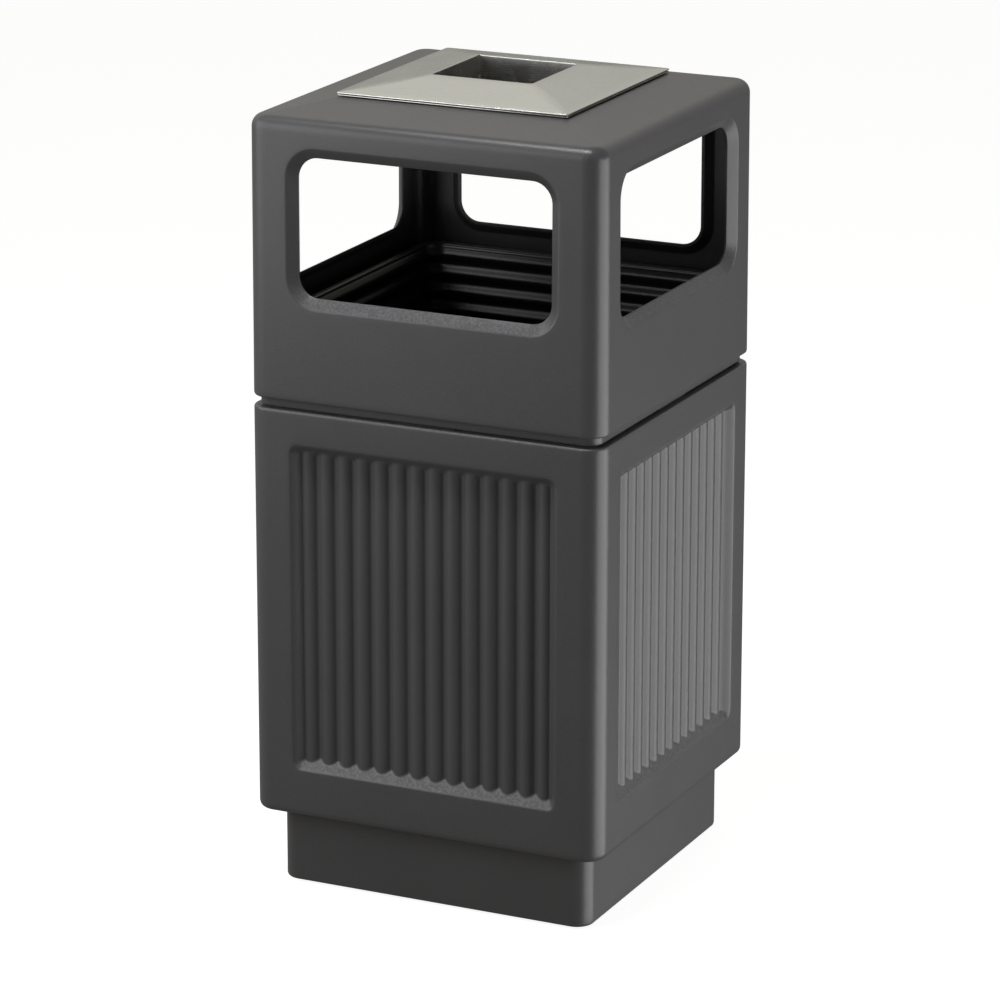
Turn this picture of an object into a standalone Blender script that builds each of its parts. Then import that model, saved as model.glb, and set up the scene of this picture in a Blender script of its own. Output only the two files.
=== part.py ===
"""Square litter receptacle: moulded base and hood, inner liner, stainless ash urn.

Metres, +Z up. The origin is on the floor under the middle of the receptacle.
The front faces -Y. All four sides are alike.
"""
import math

import bmesh
import bpy
from mathutils import Matrix, Vector

# ---- Driving dimensions -------------------------------------------------
WIDTH = 0.46355
HEIGHT = 0.99695
WALL = 0.0043
GAP = 0.0003
HALF = WIDTH / 2
CORNER_RADIUS = 0.026
CORNER_STEPS = 5

# Base shell
SHELL_BOTTOM = 0.0025
PLINTH_HALF = 0.2065
PLINTH_RADIUS = 0.0225
PLINTH_EDGE = 0.006
UNDERSIDE_Z = 0.097
UNDERSIDE_ROUND = 0.020
SHOULDER_Z = 0.6095
SHOULDER_ROUND = 0.006
UPSTAND_HALF = 0.2180
UPSTAND_TOP = 0.640

# Recessed fluted panels in the base
PANEL_HALF = 0.175
PANEL_BOTTOM = 0.157
PANEL_TOP = 0.5685
RIDGE_COUNT = 14
RIDGE_FIELD_HALF = 0.168
RIDGE_HEIGHT = 0.0055
VALLEY_DEPTH = 0.014
RIDGE_STEPS = 6

# Hood shell
SKIRT_GAP = 0.0020
SKIRT_HALF = 0.2232
SKIRT_CHAMFER = 0.001
HOOD_BOTTOM = 0.6215
HOOD_BOTTOM_ROUND = 0.0045
HOOD_DRAFT = 0.0015
DECK_ROUND = 0.016
DECK_ROUND_Z = 0.949
SEAT_Z = 0.978
SEAT_HALF = 0.152
SEAT_RADIUS = 0.008
APERTURE_HALF = 0.080
APERTURE_RADIUS = 0.014

# Side openings in the hood, outer edge of the bevelled return
OPENING_HALF = 0.1765
OPENING_HEIGHT = 0.1945
OPENING_Z = 0.8335
OPENING_RADIUS = 0.038
OPENING_BEVEL = 0.0125
OPENING_DEPTH = 0.0100
OPENING_LIP = 0.0020

# Liner
LINER_BOTTOM_HALF = 0.176
LINER_TOP_HALF = 0.1975
LINER_RIM_HALF = 0.2045
LINER_RADIUS = 0.022
LINER_WALL = 0.003
LINER_TOP = 0.7225
LINER_RIB_PITCH = 0.0234
LINER_RIB_TOP = 0.7087
LINER_RIB_COUNT = 5
LINER_RIB_DEPTH = 0.004

# Ash urn
STEEL = 0.0012
GASKET_THICKNESS = 0.0009
GASKET_OUTER = 0.146
GASKET_INNER = 0.120
FLANGE_HALF = 0.1495
PAN_HALF = 0.0745
PAN_RADIUS = 0.012
PAN_DEPTH = 0.082
COVER_HALF = 0.150
COVER_RADIUS = 0.002
COVER_HEM = 0.0024
COVER_OPENING_HALF = 0.0655
COVER_LIP = 0.030

# Feet, their screws, and the plugs in the anchor holes
FOOT_SPACING = 0.165
FOOT_RADIUS = 0.019
FOOT_HEIGHT = 0.0079
BOSS_RADIUS = 0.024
BOSS_TOP = 0.022
SCREW_RADIUS = 0.0022
SCREW_HEAD_RADIUS = 0.006
SCREW_TOP = 0.019
COUNTERBORE = 0.004
ANCHOR_SPACING = 0.110
ANCHOR_RADIUS = 0.0073
PLUG_HEAD_RADIUS = 0.011

SIDES = ("front", "right", "back", "left")
CORNERS = {
    "front_left": (-1, -1),
    "front_right": (1, -1),
    "back_right": (1, 1),
    "back_left": (-1, 1),
}


# ---- Scene and material helpers -----------------------------------------
def clear_scene():
    for item in list(bpy.data.objects):
        bpy.data.objects.remove(item, do_unlink=True)


def principled(name, colour, roughness, metallic=0.0):
    material = bpy.data.materials.new(name)
    material.use_nodes = True
    shader = material.node_tree.nodes["Principled BSDF"]
    shader.inputs["Base Color"].default_value = (*colour, 1.0)
    shader.inputs["Roughness"].default_value = roughness
    shader.inputs["Metallic"].default_value = metallic
    material.diffuse_color = (*colour, 1.0)
    return material


# ---- Mesh helpers -------------------------------------------------------
def rounded_square(half, radius, z):
    """Anticlockwise points of a square with round corners, at height z."""
    points = []
    for quarter in range(4):
        side_x = 1 if quarter in (0, 3) else -1
        side_y = 1 if quarter in (0, 1) else -1
        for step in range(CORNER_STEPS + 1):
            angle = math.pi / 2 * (quarter + step / CORNER_STEPS)
            x = side_x * (half - radius) + radius * math.cos(angle)
            y = side_y * (half - radius) + radius * math.sin(angle)
            points.append(Vector((x, y, z)))
    return points


def circle(radius, z, centre=(0.0, 0.0), steps=16):
    angles = [2 * math.pi * step / steps for step in range(steps)]
    x, y = centre
    return [Vector((x + radius * math.cos(a), y + radius * math.sin(a), z)) for a in angles]


def arc(centre, radius, start, end, steps):
    """Points (across, up) on an arc, with its angles in degrees."""
    across, up = centre
    points = []
    for step in range(steps + 1):
        angle = math.radians(start + (end - start) * step / steps)
        points.append((across + radius * math.cos(angle), up + radius * math.sin(angle)))
    return points


def loft(mesh, rings, closed=False):
    """Skin a list of rings. An open skin is capped at both ends."""
    loops = [[mesh.verts.new(point) for point in ring] for ring in rings]
    count = len(loops[0])
    pairs = list(zip(loops, loops[1:]))
    if closed:
        pairs.append((loops[-1], loops[0]))
    for lower, upper in pairs:
        for i in range(count):
            j = (i + 1) % count
            mesh.faces.new((lower[i], lower[j], upper[j], upper[i]))
    if not closed:
        mesh.faces.new(reversed(loops[0]))
        mesh.faces.new(loops[-1])


def add_object(name, mesh, material=None):
    bmesh.ops.recalc_face_normals(mesh, faces=mesh.faces)
    data = bpy.data.meshes.new(name)
    mesh.to_mesh(data)
    mesh.free()
    data.shade_smooth()
    data.set_sharp_from_angle(angle=math.radians(35))
    item = bpy.data.objects.new(name, data)
    bpy.context.collection.objects.link(item)
    if material:
        data.materials.append(material)
    return item


def lofted(name, rings, material=None, closed=False):
    mesh = bmesh.new()
    loft(mesh, rings, closed)
    return add_object(name, mesh, material)


def on_four_sides(build):
    """Build a shape for the front and turn copies of it to all four sides."""
    mesh = bmesh.new()
    for quarter in range(4):
        before = set(mesh.verts)
        build(mesh)
        added = [vert for vert in mesh.verts if vert not in before]
        bmesh.ops.rotate(mesh, verts=added, cent=(0, 0, 0),
                         matrix=Matrix.Rotation(quarter * math.pi / 2, 3, "Z"))
    return mesh


def combine(item, tool, operation):
    """Union with or cut by a hidden tool object."""
    tool.hide_render = True
    tool.display_type = "WIRE"
    modifier = item.modifiers.new(tool.name, "BOOLEAN")
    modifier.operation = operation
    modifier.solver = "EXACT"
    modifier.object = tool


# ---- Base shell ---------------------------------------------------------
def base_profile():
    """(half width, corner radius, z) from the outer bottom, over the top, to the floor."""
    rings = []

    def plinth(half, z):
        rings.append((half, PLINTH_RADIUS - (PLINTH_HALF - half), z))

    def body(half, z):
        rings.append((half, CORNER_RADIUS - (HALF - half), z))

    for half, z in arc((PLINTH_HALF - PLINTH_EDGE, SHELL_BOTTOM + PLINTH_EDGE), PLINTH_EDGE, -90, 0, 3):
        plinth(half, z)
    plinth(PLINTH_HALF, UNDERSIDE_Z)
    bottom_centre = (HALF - UNDERSIDE_ROUND, UNDERSIDE_Z + UNDERSIDE_ROUND)
    for half, z in arc(bottom_centre, UNDERSIDE_ROUND, -90, 0, 5):
        body(half, z)
    for half, z in arc((HALF - SHOULDER_ROUND, SHOULDER_Z - SHOULDER_ROUND), SHOULDER_ROUND, 0, 90, 4):
        body(half, z)
    body(UPSTAND_HALF, SHOULDER_Z)
    body(UPSTAND_HALF, UPSTAND_TOP)
    body(UPSTAND_HALF - WALL, UPSTAND_TOP)
    body(UPSTAND_HALF - WALL, SHOULDER_Z - WALL)
    body(HALF - WALL, SHOULDER_Z - WALL)
    for half, z in arc(bottom_centre, UNDERSIDE_ROUND - WALL, 0, -90, 5):
        body(half, z)
    plinth(PLINTH_HALF - WALL, UNDERSIDE_Z + WALL)
    plinth(PLINTH_HALF - WALL, SHELL_BOTTOM + WALL)
    return rings


def panel_ring(depth, offset):
    """Rectangle of a panel at a depth behind the face, on the front side."""
    half = PANEL_HALF - depth + offset
    low = PANEL_BOTTOM + depth - offset
    high = PANEL_TOP - depth + offset
    y = -HALF + depth
    return [Vector((-half, y, low)), Vector((half, y, low)),
            Vector((half, y, high)), Vector((-half, y, high))]


def panel_back(mesh):
    """The wall's bulge behind a recessed panel, one wall thickness from its bevels."""
    offset = WALL * math.sqrt(2)
    back_depth = VALLEY_DEPTH + WALL
    loft(mesh, [panel_ring(WALL * 0.6, offset), panel_ring(back_depth, offset)])


def ridge_outline():
    """(x, depth) across a panel: bevel, convex ridges that meet in valleys, bevel."""
    pitch = 2 * RIDGE_FIELD_HALF / RIDGE_COUNT
    radius = ((pitch / 2) ** 2 + RIDGE_HEIGHT ** 2) / (2 * RIDGE_HEIGHT)
    outline = [(-PANEL_HALF - 0.002, -0.002)]
    for ridge in range(RIDGE_COUNT):
        centre = -RIDGE_FIELD_HALF + pitch * (ridge + 0.5)
        for step in range(RIDGE_STEPS + (ridge == RIDGE_COUNT - 1)):
            x = centre + pitch * (step / RIDGE_STEPS - 0.5)
            crown = math.sqrt(radius ** 2 - (x - centre) ** 2) - (radius - RIDGE_HEIGHT)
            depth = VALLEY_DEPTH - crown
            if depth < PANEL_HALF - abs(x):
                outline.append((x, depth))
    first, last = outline[1], outline[-1]
    outline.insert(1, (-PANEL_HALF + first[1], first[1]))
    outline.append((PANEL_HALF - last[1], last[1]))
    outline.append((PANEL_HALF + 0.002, -0.002))
    return outline


def panel_recess(mesh):
    """Cutter for one panel. Its ends slope at 45 degrees because z follows the depth."""
    low = []
    high = []
    for x, depth in ridge_outline():
        low.append(Vector((x, -HALF + depth, PANEL_BOTTOM + depth)))
        high.append(Vector((x, -HALF + depth, PANEL_TOP - depth)))
    loft(mesh, [low, high])


def foot_bosses():
    mesh = bmesh.new()
    for side_x, side_y in CORNERS.values():
        centre = (side_x * FOOT_SPACING, side_y * FOOT_SPACING)
        loft(mesh, [circle(BOSS_RADIUS, z, centre) for z in (SHELL_BOTTOM + WALL / 2, BOSS_TOP)])
    return mesh


def floor_holes():
    """Foot pockets with blind screw holes, and through holes for ground anchors."""
    mesh = bmesh.new()
    for side_x, side_y in CORNERS.values():
        foot = (side_x * FOOT_SPACING, side_y * FOOT_SPACING)
        pocket = FOOT_RADIUS + 0.0005
        screw = SCREW_RADIUS + GAP
        ceiling = FOOT_HEIGHT + GAP
        loft(mesh, [circle(pocket, -0.002, foot), circle(pocket, ceiling, foot),
                    circle(screw, ceiling, foot), circle(screw, SCREW_TOP + GAP, foot)])
        anchor = (side_x * ANCHOR_SPACING, side_y * ANCHOR_SPACING)
        loft(mesh, [circle(ANCHOR_RADIUS, z, anchor) for z in (-0.002, 0.012)])
    return mesh


def make_base(plastic):
    shell = lofted("base_shell", [rounded_square(*ring) for ring in base_profile()], plastic)
    combine(shell, add_object("add_panel_backs", on_four_sides(panel_back)), "UNION")
    combine(shell, add_object("add_foot_bosses", foot_bosses()), "UNION")
    combine(shell, add_object("cut_panels", on_four_sides(panel_recess)), "DIFFERENCE")
    combine(shell, add_object("cut_floor", floor_holes()), "DIFFERENCE")


# ---- Hood shell ---------------------------------------------------------
def deck_points(inset):
    """(half width, z) from the side's top, round the edge, up the slope to the seat."""
    radius = DECK_ROUND - inset
    centre = (HALF - HOOD_DRAFT - DECK_ROUND, DECK_ROUND_Z)
    seat = (SEAT_HALF, SEAT_Z - inset)
    slope = math.atan2(seat[1] - centre[1] - radius, centre[0] - seat[0])
    points = arc(centre, radius, 0, 90 - math.degrees(slope), 6)
    points.append(seat)
    return points


def hood_profile():
    """(half width, corner radius, z) from the skirt's foot up outside and back down inside."""
    skirt_bottom = SHOULDER_Z + SKIRT_GAP
    rings = []

    def body(half, z):
        rings.append((half, CORNER_RADIUS - (HALF - half), z))

    def deck(inset):
        points = []
        for half, z in deck_points(inset):
            edge = HALF - HOOD_DRAFT - half
            radius = max(CORNER_RADIUS - HOOD_DRAFT - edge, SEAT_RADIUS)
            points.append((half, radius, z))
        return points

    body(SKIRT_HALF - SKIRT_CHAMFER, skirt_bottom)
    body(SKIRT_HALF, skirt_bottom + SKIRT_CHAMFER)
    body(SKIRT_HALF, HOOD_BOTTOM)
    centre = (HALF - HOOD_BOTTOM_ROUND, HOOD_BOTTOM + HOOD_BOTTOM_ROUND)
    for half, z in arc(centre, HOOD_BOTTOM_ROUND, -90, 0, 4):
        body(half, z)
    rings.extend(deck(0.0))
    rings.append((APERTURE_HALF, APERTURE_RADIUS, SEAT_Z))
    rings.append((APERTURE_HALF, APERTURE_RADIUS, SEAT_Z - WALL))
    rings.extend(reversed(deck(WALL)))
    body(HALF - WALL, HOOD_BOTTOM + HOOD_BOTTOM_ROUND)
    body(HALF - WALL, HOOD_BOTTOM + WALL)
    body(SKIRT_HALF - WALL, HOOD_BOTTOM + WALL)
    body(SKIRT_HALF - WALL, skirt_bottom)
    return rings


def opening_ring(depth, offset):
    """Round-cornered outline of a side opening, grown by offset, on the front side."""
    half = OPENING_HALF + offset
    tall = OPENING_HEIGHT / 2 + offset
    radius = OPENING_RADIUS + offset
    y = -HALF + HOOD_DRAFT * 0.6 + depth
    points = []
    for quarter in range(4):
        side_x = 1 if quarter in (0, 3) else -1
        side_z = 1 if quarter in (0, 1) else -1
        for step in range(CORNER_STEPS + 1):
            angle = math.pi / 2 * (quarter + step / CORNER_STEPS)
            x = side_x * (half - radius) + radius * math.cos(angle)
            z = OPENING_Z + side_z * (tall - radius) + radius * math.sin(angle)
            points.append(Vector((x, y, z)))
    return points


def opening_return(mesh):
    """Material behind the bevel: it runs parallel to it, one wall thickness away."""
    slope = OPENING_BEVEL / OPENING_DEPTH
    offset = WALL * math.hypot(1.0, slope)
    depths = (WALL * 0.6, OPENING_DEPTH + OPENING_LIP)
    loft(mesh, [opening_ring(depth, offset - depth * slope) for depth in depths])


def opening_funnel(mesh):
    """Cutter: the bevel, then straight through the return's lip."""
    slope = OPENING_BEVEL / OPENING_DEPTH
    outside = -0.003
    loft(mesh, [
        opening_ring(outside, -outside * slope),
        opening_ring(OPENING_DEPTH, -OPENING_BEVEL),
        opening_ring(OPENING_DEPTH * 3, -OPENING_BEVEL),
    ])


def make_hood(plastic):
    rings = [rounded_square(*ring) for ring in hood_profile()]
    shell = lofted("hood_shell", rings, plastic, closed=True)
    combine(shell, add_object("add_returns", on_four_sides(opening_return)), "UNION")
    combine(shell, add_object("cut_openings", on_four_sides(opening_funnel)), "DIFFERENCE")


# ---- Liner --------------------------------------------------------------
def liner_half(z):
    """Outer half width of the liner's tapered wall at height z."""
    share = (z - BOSS_TOP) / (LINER_TOP - BOSS_TOP)
    return LINER_BOTTOM_HALF + share * (LINER_TOP_HALF - LINER_BOTTOM_HALF)


def liner_wall_points():
    """(half width, z) up the outer wall, with one inward rib for each pitch."""
    points = []
    for rib in reversed(range(LINER_RIB_COUNT)):
        centre = LINER_RIB_TOP - rib * LINER_RIB_PITCH
        for share, inward in ((-0.46, 0.0), (-0.12, 1.0), (0.12, 1.0), (0.46, 0.0)):
            z = centre + share * LINER_RIB_PITCH
            points.append((liner_half(z) - inward * LINER_RIB_DEPTH, z))
    return points


def make_liner(plastic):
    bottom = BOSS_TOP + GAP
    edge = 0.008
    rings = []

    def wall(half, z, inset=0.0):
        rings.append((half - inset, LINER_RADIUS - inset, z))

    wall(LINER_BOTTOM_HALF - edge, bottom)
    wall(LINER_BOTTOM_HALF, bottom + edge)
    for half, z in liner_wall_points():
        wall(half, z)
    wall(LINER_TOP_HALF, LINER_TOP - LINER_WALL)
    wall(LINER_RIM_HALF - LINER_WALL, LINER_TOP - LINER_WALL)
    wall(LINER_RIM_HALF - LINER_WALL, LINER_TOP - 0.012)
    wall(LINER_RIM_HALF, LINER_TOP - 0.012)
    wall(LINER_RIM_HALF, LINER_TOP - 0.001)
    wall(LINER_RIM_HALF - 0.001, LINER_TOP)
    wall(LINER_TOP_HALF, LINER_TOP, LINER_WALL)
    for half, z in reversed(liner_wall_points()):
        wall(half, z, LINER_WALL)
    wall(LINER_BOTTOM_HALF, bottom + edge + LINER_WALL / 2, LINER_WALL)
    wall(LINER_BOTTOM_HALF - edge, bottom + LINER_WALL, LINER_WALL / 2)
    lofted("rigid_liner", [rounded_square(*ring) for ring in rings], plastic)


# ---- Ash urn ------------------------------------------------------------
GASKET_BOTTOM = SEAT_Z + GAP
FLANGE_BOTTOM = GASKET_BOTTOM + GASKET_THICKNESS + GAP
FLANGE_TOP = FLANGE_BOTTOM + STEEL
COVER_BOTTOM = FLANGE_TOP + GAP


def make_gasket(rubber):
    top = GASKET_BOTTOM + GASKET_THICKNESS
    radius = 0.006
    rings = [
        rounded_square(GASKET_OUTER, radius, GASKET_BOTTOM),
        rounded_square(GASKET_OUTER, radius, top),
        rounded_square(GASKET_INNER, radius, top),
        rounded_square(GASKET_INNER, radius, GASKET_BOTTOM),
    ]
    lofted("pan_gasket", rings, rubber, closed=True)


def make_pan(steel):
    bottom = FLANGE_TOP - PAN_DEPTH
    edge = 0.006
    inner = PAN_HALF - STEEL
    inner_radius = PAN_RADIUS - STEEL
    rings = [
        rounded_square(PAN_HALF - edge, PAN_RADIUS - edge / 2, bottom),
        rounded_square(PAN_HALF, PAN_RADIUS, bottom + edge),
        rounded_square(PAN_HALF, PAN_RADIUS, FLANGE_BOTTOM),
        rounded_square(FLANGE_HALF, COVER_RADIUS, FLANGE_BOTTOM),
        rounded_square(FLANGE_HALF, COVER_RADIUS, FLANGE_TOP),
        rounded_square(inner + 0.001, inner_radius + 0.001, FLANGE_TOP),
        rounded_square(inner, inner_radius, FLANGE_TOP - 0.001),
        rounded_square(inner, inner_radius, bottom + edge + STEEL / 2),
        rounded_square(inner - edge, inner_radius - edge / 2, bottom + STEEL),
    ]
    lofted("ash_pan", rings, steel)


def make_cover(steel):
    """Low square pyramid with a hemmed edge and a lip turned down round its opening."""
    radius = COVER_RADIUS
    opening = COVER_OPENING_HALF
    edge_top = COVER_BOTTOM + COVER_HEM
    rings = [
        rounded_square(COVER_HALF, radius, COVER_BOTTOM),
        rounded_square(COVER_HALF, radius, edge_top - 0.0006),
        rounded_square(COVER_HALF - 0.0006, radius, edge_top),
        rounded_square(opening + 0.001, radius, HEIGHT),
        rounded_square(opening, radius, HEIGHT - 0.0004),
        rounded_square(opening, radius, HEIGHT - COVER_LIP),
        rounded_square(opening + STEEL, radius, HEIGHT - COVER_LIP),
        rounded_square(opening + STEEL, radius, HEIGHT - STEEL * 1.2),
        rounded_square(COVER_HALF - STEEL, radius / 2, edge_top - STEEL),
        rounded_square(COVER_HALF - STEEL, radius / 2, COVER_BOTTOM),
    ]
    lofted("ash_cover", rings, steel, closed=True)


# ---- Small parts --------------------------------------------------------
def make_hood_pads(rubber):
    """Thin rubber strips on the shoulder that carry the hood's skirt."""
    half_length = 0.040
    inner = UPSTAND_HALF + 0.0007
    outer = SKIRT_HALF - SKIRT_CHAMFER - 0.0002
    bottom = SHOULDER_Z + GAP
    top = SHOULDER_Z + SKIRT_GAP - GAP
    for quarter, side in enumerate(SIDES):
        mesh = bmesh.new()
        corners = ((-half_length, -outer), (half_length, -outer), (half_length, -inner), (-half_length, -inner))
        loft(mesh, [[Vector((x, y, z)) for x, y in corners] for z in (bottom, top)])
        turn = Matrix.Rotation(quarter * math.pi / 2, 3, "Z")
        bmesh.ops.rotate(mesh, verts=mesh.verts, cent=(0, 0, 0), matrix=turn)
        add_object("hood_pad_" + side, mesh, rubber)


def make_foot(name, centre, rubber):
    bore = SCREW_RADIUS + GAP
    recess = SCREW_HEAD_RADIUS + 0.0005
    profile = [
        (recess, 0.0), (FOOT_RADIUS - 0.0015, 0.0), (FOOT_RADIUS, 0.0015), (FOOT_RADIUS, FOOT_HEIGHT),
        (bore, FOOT_HEIGHT), (bore, COUNTERBORE), (recess, COUNTERBORE),
    ]
    lofted(name, [circle(radius, z, centre) for radius, z in profile], rubber, closed=True)


def make_screw(name, centre, steel):
    head_top = COUNTERBORE - GAP
    profile = [
        (SCREW_HEAD_RADIUS * 0.7, 0.001), (SCREW_HEAD_RADIUS, 0.0022), (SCREW_HEAD_RADIUS, head_top),
        (SCREW_RADIUS, head_top), (SCREW_RADIUS, SCREW_TOP - 0.002), (SCREW_RADIUS / 2, SCREW_TOP),
    ]
    lofted(name, [circle(radius, z, centre) for radius, z in profile], steel)


def make_plug(name, centre, plastic):
    stem = ANCHOR_RADIUS - GAP
    floor_top = SHELL_BOTTOM + WALL + GAP
    profile = [
        (stem - 0.0008, SHELL_BOTTOM + GAP), (stem, SHELL_BOTTOM + 0.0015), (stem, floor_top),
        (PLUG_HEAD_RADIUS, floor_top), (PLUG_HEAD_RADIUS, floor_top + 0.0015),
        (PLUG_HEAD_RADIUS - 0.001, floor_top + 0.0024),
    ]
    lofted(name, [circle(radius, z, centre) for radius, z in profile], plastic)


def make_floor_parts(rubber, steel, plastic):
    for corner, (side_x, side_y) in CORNERS.items():
        foot = (side_x * FOOT_SPACING, side_y * FOOT_SPACING)
        anchor = (side_x * ANCHOR_SPACING, side_y * ANCHOR_SPACING)
        make_foot("foot_" + corner, foot, rubber)
        make_screw("foot_screw_" + corner, foot, steel)
        make_plug("anchor_plug_" + corner, anchor, plastic)


def main():
    clear_scene()
    body = principled("body_plastic", (0.050, 0.050, 0.052), 0.55)
    hood = principled("hood_plastic", (0.050, 0.050, 0.052), 0.55)
    liner = principled("liner_plastic", (0.018, 0.019, 0.020), 0.45)
    brushed = principled("brushed_steel", (0.56, 0.55, 0.52), 0.30, 1.0)
    pan = principled("pan_steel", (0.58, 0.57, 0.54), 0.22, 1.0)
    zinc = principled("screw_steel", (0.60, 0.60, 0.60), 0.35, 1.0)
    rubber = principled("black_rubber", (0.020, 0.020, 0.020), 0.80)
    plug = principled("plug_plastic", (0.030, 0.030, 0.031), 0.50)
    make_base(body)
    make_hood(hood)
    make_liner(liner)
    make_gasket(rubber)
    make_pan(pan)
    make_cover(brushed)
    make_hood_pads(rubber)
    make_floor_parts(rubber, zinc, plug)


main()
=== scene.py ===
"""Looks of the square litter receptacle: shells, liner, ash urn, materials and a soft studio.

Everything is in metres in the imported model's own frame: the origin is on the floor under
the middle of the receptacle, +Z is up and the front faces -Y.
"""
import math

import bpy
import numpy as np
from mathutils import Matrix, Vector


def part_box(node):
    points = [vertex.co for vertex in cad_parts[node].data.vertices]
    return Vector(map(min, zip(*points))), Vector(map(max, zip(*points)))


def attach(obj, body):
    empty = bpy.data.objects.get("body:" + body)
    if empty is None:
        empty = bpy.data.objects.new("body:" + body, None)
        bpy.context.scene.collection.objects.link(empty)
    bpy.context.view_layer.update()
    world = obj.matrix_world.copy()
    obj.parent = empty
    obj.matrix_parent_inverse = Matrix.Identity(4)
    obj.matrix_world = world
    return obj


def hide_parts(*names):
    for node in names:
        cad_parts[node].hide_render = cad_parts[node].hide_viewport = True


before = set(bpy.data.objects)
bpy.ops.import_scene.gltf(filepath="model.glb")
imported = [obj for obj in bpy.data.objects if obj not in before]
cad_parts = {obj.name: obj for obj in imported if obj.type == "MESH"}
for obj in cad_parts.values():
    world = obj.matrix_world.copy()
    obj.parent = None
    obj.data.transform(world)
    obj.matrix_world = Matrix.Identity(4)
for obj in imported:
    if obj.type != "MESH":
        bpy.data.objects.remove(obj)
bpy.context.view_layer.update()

# ---- Sizes read from the frame ------------------------------------------
BASE_LOW, BASE_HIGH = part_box("base_shell")
HOOD_LOW, HOOD_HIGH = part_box("hood_shell")
LINER_LOW, LINER_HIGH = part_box("rigid_liner")
PAN_LOW, PAN_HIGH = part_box("ash_pan")
COVER_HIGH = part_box("ash_cover")[1]

HALF = BASE_HIGH.x
CORNER_RADIUS = 0.026
STRAIGHT = HALF - CORNER_RADIUS
WALL = 0.0043
MITRE = WALL * (math.sqrt(2) - 1)  # how far a wall's back moves along at a 45-degree bend
GAP = 0.0003  # between neighbouring pieces
LEAD = 0.002  # short flat step beside a rounding
CORNER_STEPS = 12
CIRCLE_STEPS = 48

# ---- Base ---------------------------------------------------------------
SHELL_BOTTOM = BASE_LOW.z
PLINTH_HALF = 0.2065
PLINTH_RADIUS = 0.0225
PLINTH_EDGE = 0.010
PLINTH_CREASE = 0.003
PLINTH_ROW_HEIGHTS = (0.0140, 0.0155, 0.050)
PLINTH_FLARE = ((0.0, 0.006), (0.0, 0.004), (0.0004, 0.0012), (0.0016, 0.0))  # (outward, below)
PLINTH_INNER_CORNER = 0.004
UNDERSIDE_Z = 0.097
UNDERSIDE_ROUND = 0.020
SHOULDER_Z = 0.6095
SHOULDER_ROUND = 0.006
UPSTAND_HALF = 0.2180
UPSTAND_TOP = BASE_HIGH.z
UPSTAND_FOOT_ROUND = 0.0006
UPSTAND_ROUND = 0.0012
PANEL_HALF = 0.175
PANEL_BOTTOM = 0.157
PANEL_TOP = 0.5685
PANEL_CORNER = 0.012
PANEL_EDGE_ROUND = 0.0014
PANEL_EDGE_REACH = 3.5  # edge roundings outside the panel where the face is flat again
PANEL_EDGE_SINK = 0.02  # share of the rounding taken off so that the face stays flat
PANEL_END = 0.020
PANEL_MIDDLE_ROWS = 7
PANEL_COLUMNS_OUTSIDE = (0.001, 0.002, 0.0035, 0.006, 0.010)
PANEL_COLUMNS_INSIDE = (0.0, 0.0008, 0.0016, 0.0035, 0.0052)
RIDGE_COUNT = 14
RIDGE_FIELD_HALF = 0.168
RIDGE_PITCH = 2 * RIDGE_FIELD_HALF / RIDGE_COUNT
RIDGE_HEIGHT = 0.0055
RIDGE_WIDTH = 0.0200
RIDGE_FLANK = 0.95  # share of a ridge's radius past which its flank stays level
RIDGE_END_ROUND = 0.0016
RIDGE_STEPS = 10
VALLEY_ROUND = 0.0028
VALLEY_DEPTH = 0.014

# ---- Hood ---------------------------------------------------------------
SKIRT_BOTTOM = HOOD_LOW.z
SKIRT_HALF = 0.2232
SKIRT_EDGE = 0.002
SKIRT_EDGE_ROUND = 0.0012
SKIRT_NECK_ROUND = 0.0015
SKIRT_INNER_ROUND = 0.0005
HOOD_BOTTOM = 0.6215
HOOD_BOTTOM_ROUND = 0.0045
HOOD_INNER_ROUND = 0.003
HOOD_DRAFT = 0.0015
BAND_Z = 0.660
DECK_ROUND = 0.016
DECK_ROUND_Z = 0.949
DECK_ROUND_STEPS = 12
DECK_SLOPE_SHARES = (0.03, 0.3, 0.6, 0.9, 0.97, 1.0)
SEAT_Z = HOOD_HIGH.z
SEAT_HALF = 0.152
SEAT_RADIUS = 0.008
APERTURE_HALF = 0.080
APERTURE_RADIUS = 0.014
APERTURE_TOP_ROUND = 0.0015
APERTURE_LOW_ROUND = 0.0008
OPENING_HALF = 0.1765
OPENING_TALL = 0.09725
OPENING_Z = 0.8335
OPENING_RADIUS = 0.038
OPENING_BEVEL = 0.0125
OPENING_DEPTH = 0.0100
OPENING_LIP = 0.0020
OPENING_RIM_ROUND = 0.0045
OPENING_THROAT_ROUND = 0.002
OPENING_LIP_ROUND = 0.0008
OPENING_BACK_ROUND = 0.001
OPENING_HEEL_ROUND = 0.003
OPENING_RIM_MARGIN = 0.0075
OPENING_BACK_MARGIN = 0.006
PATCH_HALF = 0.192
PATCH_TALL = 0.1090
ARC_HALF_STEPS = 8
FLAT_STEPS = 10
UPRIGHT_STEPS = 6

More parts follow.
